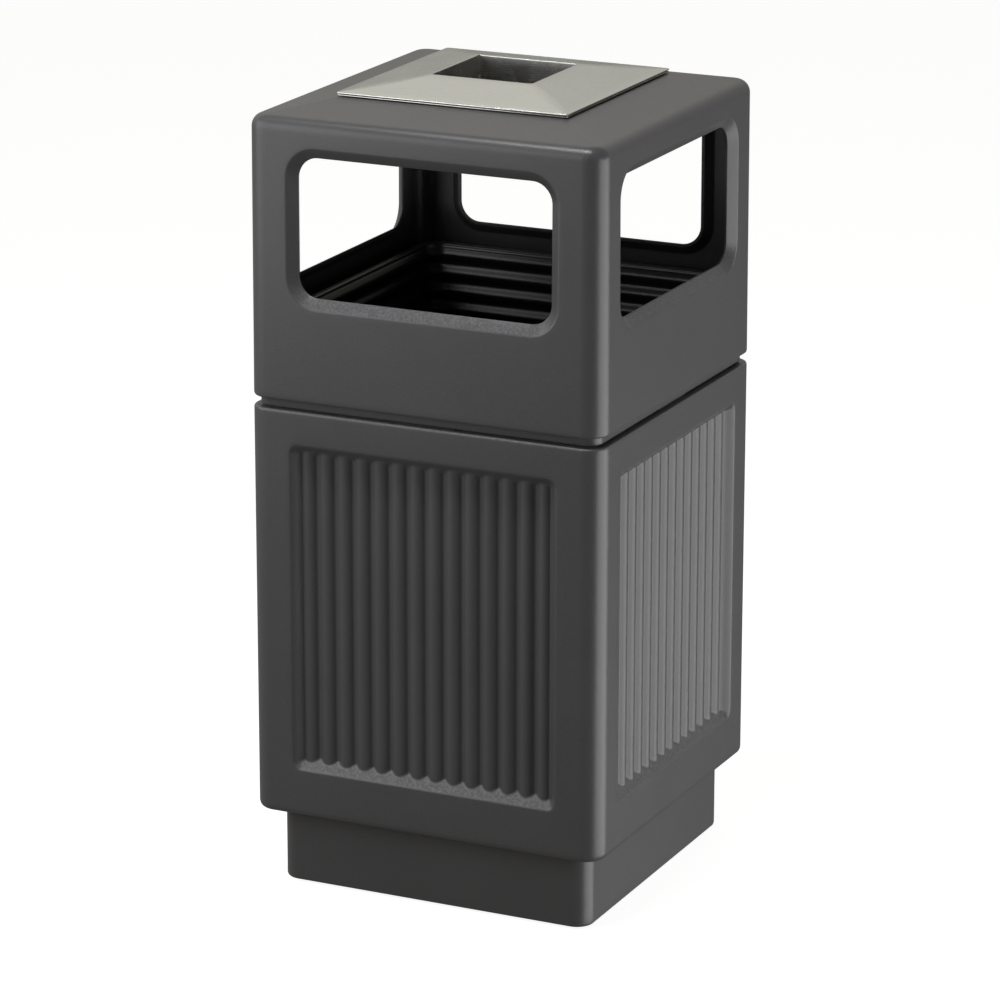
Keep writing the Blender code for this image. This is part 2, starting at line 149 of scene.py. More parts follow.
# ---- Liner and ash urn --------------------------------------------------
LINER_RADIUS = 0.022
LINER_WALL = 0.003
LINER_TOP_HALF = 0.1975
LINER_BOTTOM_HALF = 0.176
LINER_FLOOR_ROUND = 0.009
LINER_FLOOR_MARGIN = 0.030
LINER_CORNER_SHRINK = 0.3
LINER_RIM_DROP = 0.012
LINER_RIM_ROUND = 0.0025
LINER_RIM_INNER_ROUND = 0.002
LINER_FOLD_ROUND = 0.001
LINER_RIB_PITCH = 0.0234
LINER_RIB_TOP = 0.7087
LINER_RIB_COUNT = 5
LINER_RIB_DEPTH = 0.004
LINER_RIB_STEPS = 16
STEEL = 0.0012
PAN_HALF = 0.0745
PAN_RADIUS = 0.012
PAN_FLANGE_RADIUS = 0.003
PAN_FLOOR_MARGIN = 0.030
PAN_FLOOR_ROUND = 0.008
PAN_FLOOR_INNER_ROUND = 0.007
PAN_NECK_ROUND = 0.0015
PAN_MOUTH_ROUND = 0.003
COVER_HEM = 0.0024
COVER_SHADOW_GAP = 0.0008
COVER_OPENING_HALF = 0.0655
COVER_LIP = 0.030
COVER_LIP_ROUND = 0.0003
COVER_FOLD_ROUND = 0.0012
COVER_CREST = 0.0001
COVER_CORNER_STEPS = 16
COVER_FOLD_RADIUS = 0.0025
COVER_HIP_RADIUS = 0.011
COVER_HIP_SWELL = 0.6  # under 1, the hips grow round soon after each end
COVER_LONGEST_STEP = 0.012

# ---- Small parts --------------------------------------------------------
CORNERS = {
    "front_left": (-1, -1),
    "front_right": (1, -1),
    "back_right": (1, 1),
    "back_left": (-1, 1),
}
FOOT_SPACING = 0.165
FOOT_BOSS = ((0.024, SHELL_BOTTOM + WALL / 2), (0.024, 0.0214), (0.0234, 0.022))
FOOT_POCKET = ((0.0196, -0.002), (0.0196, 0.0082), (0.0026, 0.0082), (0.0026, 0.0193))
FOOT_COUNTERBORE = 0.0065
FOOT_COUNTERBORE_TOP = 0.004
FOOT_HOLE = 0.0025
FOOT_EDGE_ROUND = 0.002
FOOT_RIM_ROUND = 0.0006
FOOT_HOLE_ROUND = 0.0002
SCREW_SHANK = 0.0022
SCREW_SEAT = 0.0037
SCREW_RECESS = 0.0022
SCREW_RECESS_TOP = 0.0028
SCREW_MOUTH = 0.0028
SCREW_TIP = 0.0015
ANCHOR_SPACING = 0.110
ANCHOR_HOLE = ((0.0073, -0.002), (0.0073, 0.012))
PLUG_STEM = 0.0070
PLUG_HEAD_TALL = 0.0024
PLUG_DIMPLE = 0.0035
PLUG_DIMPLE_MOUTH = 0.0045
PLUG_EDGE_ROUND = 0.0008
PLUG_CREASE_ROUND = 0.0004
PLUG_DOME_ROUND = 0.002


# ---- Profile helpers ----------------------------------------------------
def fillet(points, steps=5):
    """A path through (across, up, radius) corners, each rounded by a curve of about its radius.

    A curve never takes as much as half of the straight before or after its corner.
    """
    most = 0.49
    path = [points[0][:2]]
    for before, corner, after in zip(points, points[1:], points[2:]):
        here = Vector(corner[:2])
        radius = corner[2]
        back = Vector(before[:2]) - here
        ahead = Vector(after[:2]) - here
        if radius == 0 or back.length == 0 or ahead.length == 0:
            path.append(tuple(here))
            continue
        half_angle = back.angle(ahead) / 2
        reach = min(radius / math.tan(half_angle), back.length * most, ahead.length * most)
        start = here + back.normalized() * reach
        end = here + ahead.normalized() * reach
        for step in range(steps + 1):
            share = step / steps
            rest = 1 - share
            path.append(tuple(start * rest ** 2 + here * 2 * share * rest + end * share ** 2))
    path.append(points[-1][:2])
    return path


def subdivided(path, longest):
    """The same path with extra points so that no step is longer than longest."""
    result = [path[0]]
    for start, end in zip(path, path[1:]):
        count = max(1, math.ceil(math.dist(start, end) / longest))
        for step in range(1, count + 1):
            share = step / count
            result.append(tuple(a + (b - a) * share for a, b in zip(start, end)))
    return result


def smooth_min(a, b, width):
    """The smaller of two arrays, blended where they are closer than width."""
    mix = np.clip(0.5 + 0.5 * (b - a) / width, 0.0, 1.0)
    return b + (a - b) * mix - width * mix * (1 - mix)


def turned(points, quarter):
    """Points turned about Z by quarters of a full turn."""
    x, y, z = points[..., 0], points[..., 1], points[..., 2]
    for _ in range(quarter % 4):
        x, y = -y, x
    return np.stack([x, y, z], axis=-1)


# ---- Skins --------------------------------------------------------------
class Skin:
    """Collects rings of points and the faces between them."""

    def __init__(self):
        self.points = []
        self.faces = []

    def ring(self, points):
        """Add a ring and give back the numbers of its points."""
        start = len(self.points)
        self.points.extend(map(tuple, points))
        return list(range(start, len(self.points)))

    def bridge(self, lower, upper, skip=frozenset()):
        """Join two rings all the way round, but for the columns in skip."""
        count = len(lower)
        for i in range(count):
            if i not in skip:
                j = (i + 1) % count
                self.faces.append((lower[i], lower[j], upper[j], upper[i]))

    def loft(self, rings, closed=False):
        """Join rings in turn, then join the last to the first, or else cap both."""
        loops = [self.ring(ring) for ring in rings]
        for lower, upper in zip(loops, loops[1:]):
            self.bridge(lower, upper)
        if closed:
            self.bridge(loops[-1], loops[0])
        else:
            self.faces.append(tuple(reversed(loops[0])))
            self.faces.append(tuple(loops[-1]))

    def make(self, name, material, sharp=None):
        """The finished object, with edges over sharp degrees kept crisp."""
        data = bpy.data.meshes.new(name)
        data.from_pydata(self.points, [], self.faces)
        data.validate()
        data.shade_smooth()
        if sharp:
            data.set_sharp_from_angle(angle=math.radians(sharp))
        data.materials.append(material)
        item = bpy.data.objects.new(name, data)
        bpy.context.collection.objects.link(item)
        return item


def lofted(name, rings, material, closed=False, sharp=None):
    skin = Skin()
    skin.loft(rings, closed)
    return skin.make(name, material, sharp)


def square_ring(half, radius, z, along=None, depth=0.0, corner_steps=CORNER_STEPS):
    """Rounded square at height z, anticlockwise from the left end of the front side.

    along holds the places of the points on each straight side, from -1 to 1 of its length.
    """
    straight = half - radius
    sides = np.array([-1.0, 1.0]) if along is None else along
    angle = np.linspace(0, math.pi / 2, corner_steps + 1)[1:-1]
    x = np.concatenate([sides * straight, straight + radius * np.sin(angle)])
    inward = np.concatenate([np.broadcast_to(depth, sides.shape), np.zeros(len(angle))])
    y = np.concatenate([np.full(len(sides), -half), -straight - radius * np.cos(angle)]) + inward
    side = np.stack([x, y, np.full(len(x), z)], axis=-1)
    return np.concatenate([turned(side, quarter) for quarter in range(4)])


def body_ring(half, z, along, depth=0.0):
    """Ring of a shell's wall, whose corner radius shrinks with its half width."""
    return square_ring(half, CORNER_RADIUS - (HALF - half), z, along, depth)


def plinth_ring(half, z, along):
    return square_ring(half, PLINTH_RADIUS - (PLINTH_HALF - half), z, along)


def circle_ring(radius, z, centre=(0.0, 0.0)):
    angle = np.linspace(0, 2 * math.pi, CIRCLE_STEPS, endpoint=False)
    return np.stack([centre[0] + radius * np.cos(angle), centre[1] + radius * np.sin(angle),
                     np.full(CIRCLE_STEPS, z)], axis=-1)


def corner_places(spacing):
    """The name of each corner, with the place at that spacing from both middle lines."""
    return [(corner, (side_x * spacing, side_y * spacing))
            for corner, (side_x, side_y) in CORNERS.items()]


def place(item, body, slot, *nodes):
    """Let a piece ride on its body and stand for its CAD nodes; slot is not used."""
    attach(item, body)
    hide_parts(*nodes)
    return item


def cut(item, tool, operation="DIFFERENCE"):
    """Apply a Boolean with a tool mesh, then remove the tool."""
    modifier = item.modifiers.new(operation, "BOOLEAN")
    modifier.operation = operation
    modifier.solver = "EXACT"
    modifier.object = tool
    with bpy.context.temp_override(object=item, active_object=item, selected_objects=[item]):
        bpy.ops.object.modifier_apply(modifier=modifier.name)
    bpy.data.objects.remove(tool, do_unlink=True)


# ---- Base shell ---------------------------------------------------------
def ridge_depth(x):
    """Depth behind the face of the convex ridges, which meet in rounded valleys."""
    radius = ((RIDGE_WIDTH / 2) ** 2 + RIDGE_HEIGHT ** 2) / (2 * RIDGE_HEIGHT)
    across = (x + RIDGE_FIELD_HALF) % RIDGE_PITCH - RIDGE_PITCH / 2
    held = np.minimum(np.abs(across), RIDGE_FLANK * radius)
    crown = np.sqrt(radius ** 2 - held ** 2) - (radius - RIDGE_HEIGHT)
    return VALLEY_DEPTH + smooth_min(-crown, np.zeros_like(crown), VALLEY_ROUND)


def panel_depth(x, z):
    """Depth of the recessed panel at a place on the face."""
    across = np.abs(x) - PANEL_HALF + PANEL_CORNER
    up = max(PANEL_BOTTOM - z, z - PANEL_TOP) + PANEL_CORNER
    rounded = PANEL_CORNER - np.hypot(np.maximum(across, 0.0), max(up, 0.0))
    inside = np.where((across > 0) & (up > 0), rounded, PANEL_CORNER - np.maximum(across, up))
    softened = 0.5 * (inside + np.sqrt(inside ** 2 + PANEL_EDGE_ROUND ** 2))
    bevel = softened - PANEL_EDGE_ROUND * PANEL_EDGE_SINK
    bevel = np.where(inside > -PANEL_EDGE_REACH * PANEL_EDGE_ROUND, bevel, 0.0)
    ridges = ridge_depth(np.clip(x, -PANEL_HALF, PANEL_HALF))
    return np.maximum(smooth_min(bevel, ridges, RIDGE_END_ROUND), 0.0)


def panel_back_depth(x, z):
    """How far the inner skin bulges in behind the panel."""
    reach = PANEL_HALF + MITRE
    inside = np.minimum(reach - np.abs(x), min(z - PANEL_BOTTOM + MITRE, PANEL_TOP + MITRE - z))
    return np.clip(inside, 0.0, VALLEY_DEPTH)


def base_columns():
    """Places along a side: every ridge, the panel's rounded edges, and the side's ends."""
    columns = [-RIDGE_FIELD_HALF + RIDGE_PITCH * step / RIDGE_STEPS
               for step in range(RIDGE_COUNT * RIDGE_STEPS + 1)]
    for outward in PANEL_COLUMNS_OUTSIDE:
        columns += [-PANEL_HALF - outward, PANEL_HALF + outward]
    for inward in PANEL_COLUMNS_INSIDE:
        columns += [-PANEL_HALF + inward, PANEL_HALF - inward]
    columns += [-STRAIGHT, STRAIGHT, -STRAIGHT + LEAD, STRAIGHT - LEAD]
    return np.array(sorted(columns)) / STRAIGHT


def panel_rows():
    """Heights through the panel, close together where its ends slope."""
    outside = np.arange(-0.006, -0.003, 0.0015)
    edge = np.arange(-0.003, 0.004, 0.0007)
    slope = np.arange(0.004, 0.0165, 0.0012)
    inward = np.concatenate([outside, edge, slope])
    middle = np.linspace(PANEL_BOTTOM + PANEL_END, PANEL_TOP - PANEL_END, PANEL_MIDDLE_ROWS)
    return np.concatenate([PANEL_BOTTOM + inward, middle, (PANEL_TOP - inward)[::-1]])


def plinth_rows():
    """(half width, z) up the outside of the plinth, flaring where it meets the body."""
    edge = fillet([(PLINTH_HALF - PLINTH_EDGE, SHELL_BOTTOM, 0), (PLINTH_HALF, SHELL_BOTTOM, PLINTH_EDGE),
                   (PLINTH_HALF, UNDERSIDE_Z - PLINTH_CREASE, 0)])[:-1]
    upright = [(PLINTH_HALF, z) for z in PLINTH_ROW_HEIGHTS]
    flare = [(PLINTH_HALF + outward, UNDERSIDE_Z - below) for outward, below in PLINTH_FLARE]
    return edge + upright + flare


def underside_rows():
    """(half width, z) round the lower edge of the body, on its outside."""
    rows = fillet([(HALF - UNDERSIDE_ROUND, UNDERSIDE_Z, 0), (HALF, UNDERSIDE_Z, UNDERSIDE_ROUND),
                   (HALF, UNDERSIDE_Z + UNDERSIDE_ROUND * 2.2, 0)], steps=10)
    return rows[1:-1] + [(HALF, UNDERSIDE_Z + UNDERSIDE_ROUND + LEAD)]


def shoulder_rows():
    """(half width, z) over the shoulder and the upstand, then down inside to the panel."""
    low = SHOULDER_Z - SHOULDER_ROUND
    inner_half = UPSTAND_HALF - WALL
    return [(HALF, low - LEAD)] + fillet([
        (HALF, low - LEAD / 2, 0),
        (HALF, SHOULDER_Z, SHOULDER_ROUND),
        (UPSTAND_HALF, SHOULDER_Z, UPSTAND_FOOT_ROUND),
        (UPSTAND_HALF, UPSTAND_TOP, UPSTAND_ROUND),
        (inner_half, UPSTAND_TOP, UPSTAND_ROUND),
        (inner_half, SHOULDER_Z - WALL, 0),
        (HALF - WALL, SHOULDER_Z - WALL, 0),
        (HALF - WALL, PANEL_TOP + 0.010, 0),
    ], steps=8)


def inner_underside_rows():
    """(half width, z) round the lower edge of the body, on its inside."""
    floor = UNDERSIDE_Z + WALL
    return fillet([(HALF - WALL, UNDERSIDE_Z + UNDERSIDE_ROUND * 2, 0),
                   (HALF - WALL, floor, UNDERSIDE_ROUND - WALL),
                   (HALF - UNDERSIDE_ROUND, floor, 0)], steps=6)[1:]


def base_rings():
    """Rings of the whole skin, from the plinth's floor up the outside and down the inside."""
    along = base_columns()
    x = along * STRAIGHT
    rings = [plinth_ring(half, z, along) for half, z in plinth_rows()]
    rings += [body_ring(half, z, along) for half, z in underside_rows()]
    rings += [body_ring(HALF, z, along, panel_depth(x, z)) for z in panel_rows()]
    rings += [body_ring(half, z, along) for half, z in shoulder_rows()]
    for z in (PANEL_TOP + MITRE, PANEL_TOP + MITRE - VALLEY_DEPTH,
              PANEL_BOTTOM - MITRE + VALLEY_DEPTH, PANEL_BOTTOM - MITRE):
        rings.append(body_ring(HALF - WALL, z, along, panel_back_depth(x, z)))
    rings += [body_ring(half, z, along) for half, z in inner_underside_rows()]
    inner_half = PLINTH_HALF - WALL
    floor = SHELL_BOTTOM + WALL
    rings.append(plinth_ring(inner_half, UNDERSIDE_Z + WALL, along))
    rings.append(plinth_ring(inner_half, floor + PLINTH_INNER_CORNER, along))
    rings.append(plinth_ring(inner_half - PLINTH_INNER_CORNER, floor, along))
    return rings


def turned_shapes(material, *groups):
    """One mesh with a turned shape at each corner, for each (spacing, profile)."""
    skin = Skin()
    for spacing, profile in groups:
        for _, centre in corner_places(spacing):
            skin.loft([circle_ring(radius, z, centre) for radius, z in profile])
    return skin.make("tool", material)


def make_base(material):
    item = lofted("base_housing", base_rings(), material)
    cut(item, turned_shapes(material, (FOOT_SPACING, FOOT_BOSS)), "UNION")
    cut(item, turned_shapes(material, (FOOT_SPACING, FOOT_POCKET), (ANCHOR_SPACING, ANCHOR_HOLE)))
    item.data.set_sharp_from_angle(angle=math.radians(50))
    return place(item, "base", "body_plastic", "base_shell")


# ---- Hood shell ---------------------------------------------------------
def wall_half(z):
    """Half width of the hood's drafted side at height z."""
    low = HOOD_BOTTOM + HOOD_BOTTOM_ROUND
    share = min(max((z - low) / (DECK_ROUND_Z - low), 0.0), 1.0)
    return HALF - HOOD_DRAFT * share


def patch_line(edge, centre_reach, steps):
    """Places along one edge of the patch round an opening: half arc, straight, half arc."""
    share = np.linspace(0, 1, ARC_HALF_STEPS + 1)
    eased = 1 - np.cos(math.pi / 4 * (1 + share)) / math.cos(math.pi / 4)
    first = -edge + (edge - centre_reach) * eased
    straight = np.linspace(-centre_reach, centre_reach, steps + 1)
    return np.concatenate([first[:-1], straight, -first[:-1][::-1]])


def opening_outline(inward):
    """(x, z) round an opening, anticlockwise from outside, starting at its lower left."""
    radius = OPENING_RADIUS - inward
    reach = OPENING_HALF - OPENING_RADIUS
    tall = OPENING_TALL - OPENING_RADIUS
    corners = ((-reach, -tall), (reach, -tall), (reach, tall), (-reach, tall))
    points = []

    def add(centre, angle):
        points.append((centre[0] + radius * math.cos(angle), centre[1] + radius * math.sin(angle)))

    for side in range(4):
        start, end = corners[side], corners[(side + 1) % 4]
        steps = FLAT_STEPS if side % 2 == 0 else UPRIGHT_STEPS
        facing = math.radians(270 + 90 * side)
        for step in range(ARC_HALF_STEPS):
            add(start, facing - math.pi / 4 * (1 - step / ARC_HALF_STEPS))
        for step in range(steps + 1):
            share = step / steps
            add([a + (b - a) * share for a, b in zip(start, end)], facing)
        for step in range(1, ARC_HALF_STEPS):
            add(end, facing + math.pi / 4 * step / ARC_HALF_STEPS)
    return points


def opening_profile():
    """(inward, depth) from the outer face, down the bevel, round the lip and back outwards."""
    slope = OPENING_BEVEL / OPENING_DEPTH
    back = WALL * math.hypot(1.0, slope)
    lip_depth = OPENING_DEPTH + OPENING_LIP
    return fillet([
        (-OPENING_RIM_MARGIN, 0.0, 0),
        (0.0, 0.0, OPENING_RIM_ROUND),
        (OPENING_BEVEL, OPENING_DEPTH, OPENING_THROAT_ROUND),
        (OPENING_BEVEL, lip_depth, OPENING_LIP_ROUND),
        (lip_depth * slope - back, lip_depth, OPENING_BACK_ROUND),
        (WALL * slope - back, WALL, OPENING_HEEL_ROUND),
        (WALL * slope - back - OPENING_BACK_MARGIN, WALL, 0),
    ], steps=5)


def hood_foot_rows():
    """(half width, z) up the skirt's outside and round the hood's lower edge."""
    return fillet([
        (SKIRT_HALF - SKIRT_EDGE, SKIRT_BOTTOM, 0),
        (SKIRT_HALF, SKIRT_BOTTOM, SKIRT_EDGE_ROUND),
        (SKIRT_HALF, HOOD_BOTTOM, SKIRT_NECK_ROUND),
        (HALF, HOOD_BOTTOM, HOOD_BOTTOM_ROUND),
        (HALF, HOOD_BOTTOM + HOOD_BOTTOM_ROUND * 2.2, 0),
    ], steps=7)


def deck_rows(inset):
    """(half width, z) round the deck's edge and up its slope to the seat."""
    radius = DECK_ROUND - inset
    centre_half = HALF - HOOD_DRAFT - DECK_ROUND
    seat_z = SEAT_Z - inset
    slope = math.atan2(seat_z - DECK_ROUND_Z - radius, centre_half - SEAT_HALF)
    rows = []
    for step in range(DECK_ROUND_STEPS + 1):
        angle = (math.pi / 2 - slope) * step / DECK_ROUND_STEPS
        rows.append((centre_half + radius * math.cos(angle), DECK_ROUND_Z + radius * math.sin(angle)))
    edge_half, edge_z = rows[-1]
    for share in DECK_SLOPE_SHARES:
        rows.append((edge_half + (SEAT_HALF - edge_half) * share, edge_z + (seat_z - edge_z) * share))
    return rows


def seat_rows():
    """(half width, z) across the seat, through the aperture and back below the seat."""
    outer = SEAT_HALF - LEAD
    return fillet([
        (outer, SEAT_Z, 0),
        (APERTURE_HALF, SEAT_Z, APERTURE_TOP_ROUND),
        (APERTURE_HALF, SEAT_Z - WALL, APERTURE_LOW_ROUND),
        (outer, SEAT_Z - WALL, 0),
    ], steps=4)


def inner_foot_rows():
    """(half width, z) down the inside below the openings to the skirt's bottom."""
    floor = HOOD_BOTTOM + WALL
    return fillet([
        (HALF - WALL, BAND_Z, 0),
        (HALF - WALL, floor, HOOD_INNER_ROUND),
        (SKIRT_HALF - WALL, floor, HOOD_INNER_ROUND),
        (SKIRT_HALF - WALL, SKIRT_BOTTOM, SKIRT_INNER_ROUND),
        (SKIRT_HALF - SKIRT_EDGE, SKIRT_BOTTOM, 0),
    ], steps=4)[:-1]


def deck_ring(half, z, along):
    return square_ring(half, max(CORNER_RADIUS - (HALF - half), SEAT_RADIUS), z, along)


def seat_ring(half, z, along):
    """Ring of the seat, whose corners change radius half way to the aperture."""
    near_aperture = half < (APERTURE_HALF + SEAT_HALF) / 2
    return square_ring(half, APERTURE_RADIUS if near_aperture else SEAT_RADIUS, z, along)


def frame_opening(skin, side, outer_frame, inner_frame):
    """Fill one side's patch from its outer border through the bevel to its inner border."""
    previous = outer_frame
    for inward, depth in opening_profile():
        outline = opening_outline(inward)
        ring = np.array([(x, depth - wall_half(OPENING_Z + z), OPENING_Z + z) for x, z in outline])
        current = skin.ring(turned(ring, side))
        skin.bridge(previous, current)
        previous = current
    skin.bridge(previous, inner_frame)


def make_hood(material):
    across = patch_line(PATCH_HALF, OPENING_HALF - OPENING_RADIUS, FLAT_STEPS)
    upright = OPENING_Z + patch_line(PATCH_TALL, OPENING_TALL - OPENING_RADIUS, UPRIGHT_STEPS)
    ends = [STRAIGHT - 0.004, STRAIGHT - 0.0015, STRAIGHT]
    along = np.concatenate([-np.array(ends[::-1]), across, ends]) / STRAIGHT
    first = len(ends)
    last = first + len(across) - 1
    per_side = len(along) + CORNER_STEPS - 1

    outer = [body_ring(half, z, along) for half, z in hood_foot_rows()]
    outer.append(body_ring(wall_half(BAND_Z), BAND_Z, along))
    outer_wall = [body_ring(wall_half(z), z, along) for z in upright]
    top = [deck_ring(half, z, along) for half, z in deck_rows(0.0)]
    top += [seat_ring(half, z, along) for half, z in seat_rows()]
    top += [deck_ring(half, z, along) for half, z in reversed(deck_rows(WALL))]
    inner_wall = [body_ring(wall_half(z) - WALL, z, along) for z in reversed(upright)]
    inner = [body_ring(half, z, along) for half, z in inner_foot_rows()]

    skin = Skin()
    loops = [skin.ring(ring) for ring in outer + outer_wall + top + inner_wall + inner]
    outer_rows = list(range(len(outer), len(outer) + len(upright)))
    inner_top = len(outer) + len(outer_wall) + len(top)
    inner_rows = list(range(inner_top, inner_top + len(upright)))[::-1]
    patch_columns = frozenset(side * per_side + column
                              for side in range(4) for column in range(first, last))
    patch_rows = set(outer_rows[:-1]) | set(inner_rows[1:])
    for row, (lower, upper) in enumerate(zip(loops, loops[1:] + loops[:1])):
        skin.bridge(lower, upper, patch_columns if row in patch_rows else frozenset())

    def patch_border(rows, side):
        low, high = side * per_side + first, side * per_side + last
        bottom = [loops[rows[0]][column] for column in range(low, high)]
        right = [loops[row][high] for row in rows[:-1]]
        top_edge = [loops[rows[-1]][column] for column in range(high, low, -1)]
        left = [loops[row][low] for row in rows[:0:-1]]
        return bottom + right + top_edge + left

    for side in range(4):
        frame_opening(skin, side, patch_border(outer_rows, side), patch_border(inner_rows, side))
    item = skin.make("hood", material)
    return place(item, "hood", "hood_plastic", "hood_shell")


# ---- Liner --------------------------------------------------------------
def liner_half(z):
    """Half width of the liner's tapered wall at height z, without its ribs."""
    bottom, top = LINER_LOW.z, LINER_HIGH.z
    return LINER_BOTTOM_HALF + (LINER_TOP_HALF - LINER_BOTTOM_HALF) * (z - bottom) / (top - bottom)


def liner_rib(z):
    """Inward wave of the wall, one smooth rib for each pitch."""
    phase = (LINER_RIB_TOP - z) / LINER_RIB_PITCH
    if phase < -0.5 or phase > LINER_RIB_COUNT - 0.5:
        return 0.0
    return LINER_RIB_DEPTH * (0.5 + 0.5 * math.cos(2 * math.pi * phase))


def liner_wall_rows():
    """(half width, z) up the outside of the wall through its ribs."""
    low_rib = LINER_RIB_TOP - LINER_RIB_PITCH * (LINER_RIB_COUNT - 0.5)
    high_rib = min(LINER_RIB_TOP + LINER_RIB_PITCH / 2, LINER_HIGH.z - 0.005)
    heights = [LINER_LOW.z + 0.040, low_rib - 0.004]
    heights += list(np.linspace(low_rib, high_rib, LINER_RIB_COUNT * LINER_RIB_STEPS + 1))
    return [(liner_half(z) - liner_rib(z), z) for z in heights]


def liner_hem_rows():
    """(half width, z) out round the turned-down rim and back over its top."""
    top = LINER_HIGH.z
    rim = top - LINER_WALL
    inner_half = LINER_HIGH.x - LINER_WALL
    return fillet([
        (LINER_TOP_HALF, rim - 0.0005, 0),
        (inner_half, rim, LINER_FOLD_ROUND),
        (inner_half, top - LINER_RIM_DROP, LINER_FOLD_ROUND),
        (LINER_HIGH.x, top - LINER_RIM_DROP, LINER_FOLD_ROUND),
        (LINER_HIGH.x, top, LINER_RIM_ROUND),
        (LINER_TOP_HALF - LINER_WALL, top, LINER_RIM_INNER_ROUND),
        (LINER_TOP_HALF - LINER_WALL, top - 0.0045, 0),
    ])


def make_liner(material):
    bottom = LINER_LOW.z
    low = bottom + LINER_FLOOR_MARGIN
    floor = bottom + LINER_WALL
    outer = fillet([(LINER_BOTTOM_HALF - LINER_FLOOR_MARGIN, bottom, 0),
                    (LINER_BOTTOM_HALF, bottom, LINER_FLOOR_ROUND),
                    (liner_half(low), low, 0)])
    inner = fillet([(liner_half(low) - LINER_WALL, low, 0),
                    (LINER_BOTTOM_HALF - LINER_WALL, floor, LINER_FLOOR_ROUND),
                    (LINER_BOTTOM_HALF - 0.034, floor, 0)])
    wall = liner_wall_rows()
    rings = []
    for half, z in outer + wall + liner_hem_rows():
        inset = max(LINER_TOP_HALF - half, 0.0) * LINER_CORNER_SHRINK
        rings.append(square_ring(half, LINER_RADIUS - inset, z))
    for half, z in [(half - LINER_WALL, z) for half, z in reversed(wall)] + inner:
        rings.append(square_ring(half, LINER_RADIUS - LINER_WALL, z))
    item = lofted("liner", rings, material)
    return place(item, "liner", "liner_plastic", "rigid_liner")


# ---- Ash urn ------------------------------------------------------------
def make_pan(material):
    """Drawn square pan with a flange, whose corners are tighter than the cup's."""
    top = PAN_HIGH.z
    bottom = PAN_LOW.z
    flange = PAN_HIGH.x
    inner = PAN_HALF - STEEL
    path = fillet([
        (PAN_HALF - PAN_FLOOR_MARGIN, bottom, 0),
        (PAN_HALF, bottom, PAN_FLOOR_ROUND),
        (PAN_HALF, top - STEEL, PAN_NECK_ROUND),
        (flange, top - STEEL, 0.0004),
        (flange, top, 0.0005),
        (inner, top, PAN_MOUTH_ROUND),
        (inner, bottom + STEEL, PAN_FLOOR_INNER_ROUND),
        (PAN_HALF - PAN_FLOOR_MARGIN, bottom + STEEL, 0),
    ], steps=6)
    rings = []
    for half, z in path:
        share = min(max((half - PAN_HALF) / (flange - PAN_HALF), 0.0), 1.0)
        radius = PAN_RADIUS + (PAN_FLANGE_RADIUS - PAN_RADIUS) * share
        rings.append(square_ring(half, min(radius, half), z))
    item = lofted("urn_pan", rings, material, sharp=60)
    return place(item, "pan", "pan_steel", "ash_pan")


def make_cover(material):
    """Pressed low pyramid: its hips are round half way up and crisp at both ends."""
    edge = COVER_HIGH.x
    low = PAN_HIGH.z + GAP + COVER_SHADOW_GAP
    high = COVER_HIGH.z
    hem_top = low + COVER_HEM - COVER_SHADOW_GAP
    opening = COVER_OPENING_HALF
    path = fillet([
        (edge - STEEL, low, 0),
        (edge, low, 0.0005),
        (edge, hem_top, COVER_FOLD_ROUND),
        (opening, high + COVER_CREST, COVER_FOLD_ROUND),
        (opening, high - COVER_LIP, COVER_LIP_ROUND),
        (opening + STEEL, high - COVER_LIP, COVER_LIP_ROUND),
        (opening + STEEL, high - STEEL * 1.4, 0.0005),
        (edge - STEEL, hem_top - STEEL, 0.0006),
        (edge - STEEL, low, 0),
    ], steps=5)[:-1]
    rings = []
    for half, z in subdivided(path, COVER_LONGEST_STEP):
        share = (half - opening) / (edge - opening)
        bulge = math.sin(math.pi * min(max(share, 0.0), 1.0)) ** COVER_HIP_SWELL
        radius = COVER_FOLD_RADIUS + COVER_HIP_RADIUS * bulge
        rings.append(square_ring(half, radius, z, corner_steps=COVER_CORNER_STEPS))
    item = lofted("urn_cover", rings, material, closed=True, sharp=50)
    return place(item, "cover", "brushed_steel", "ash_cover")


# ---- Small parts --------------------------------------------------------
def make_feet(rubber):
    """Rubber feet with a rounded edge and a counterbored screw hole."""
    low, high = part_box("foot_front_left")
    radius = (high.x - low.x) / 2
    start = (FOOT_COUNTERBORE, FOOT_COUNTERBORE_TOP, 0)
    profile = fillet([
        start,
        (FOOT_COUNTERBORE, 0.0, FOOT_RIM_ROUND),
        (radius, 0.0, FOOT_EDGE_ROUND),
        (radius, high.z, FOOT_RIM_ROUND),
        (FOOT_HOLE, high.z, FOOT_HOLE_ROUND),
        (FOOT_HOLE, FOOT_COUNTERBORE_TOP, 0),
        start,
    ])[:-1]
    for corner, centre in corner_places(FOOT_SPACING):
        rings = [circle_ring(reach, z, centre) for reach, z in profile]
        item = lofted("rubber_foot_" + corner, rings, rubber, closed=True, sharp=50)
        place(item, "base", "black_rubber", "foot_" + corner)


def hexagon_ring(radius, centre):
    """A circle's points drawn in to the flats of the hexagon inside it, at height 0."""
    points = circle_ring(radius, 0.0, centre)
    angle = np.arctan2(points[:, 1] - centre[1], points[:, 0] - centre[0])
    sector = (angle % (math.pi / 3)) - math.pi / 6
    shrink = math.cos(math.pi / 6) / np.cos(sector)
    points[:, :2] = np.array(centre) + (points[:, :2] - np.array(centre)) * shrink[:, None]
    return points


